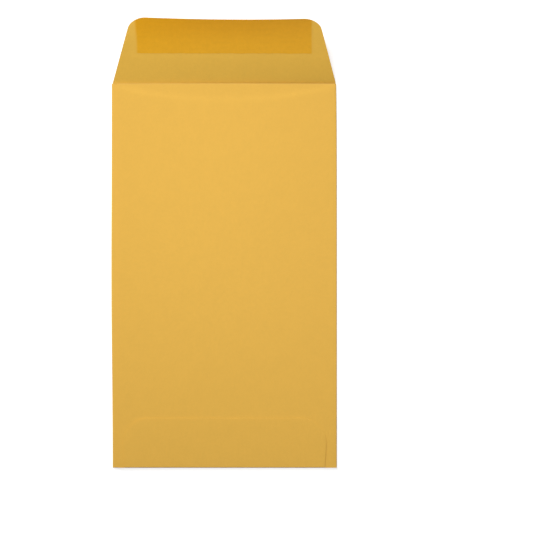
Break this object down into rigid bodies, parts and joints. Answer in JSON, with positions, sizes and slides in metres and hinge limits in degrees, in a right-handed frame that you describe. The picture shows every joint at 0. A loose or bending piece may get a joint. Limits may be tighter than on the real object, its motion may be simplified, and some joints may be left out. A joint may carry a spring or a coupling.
{
  "type": "paper envelope",
  "caption": "Small manila paper pocket that opens at its short end, with a tapered seal flap standing open and a band of dried gum on the flap, for coins, wages, seeds or notes.",
  "frame": {"origin": "centre of the pocket's front panel, on the surface that the envelope lies on", "axes": "+Y from the bottom fold to the seal flap, +Z out of the back panel, +X to the right as the back is looked at; the seam side is at -X"},
  "size_m": [0.08, 0.1596, 0.0049],
  "materials": {
    "kraft_paper": "matte",
    "dried_gum": "satin"
  },
  "bodies": {
    "root": {"envelope": "kraft_paper", "flap_gum": "dried_gum"}
  },
  "joints": []
}
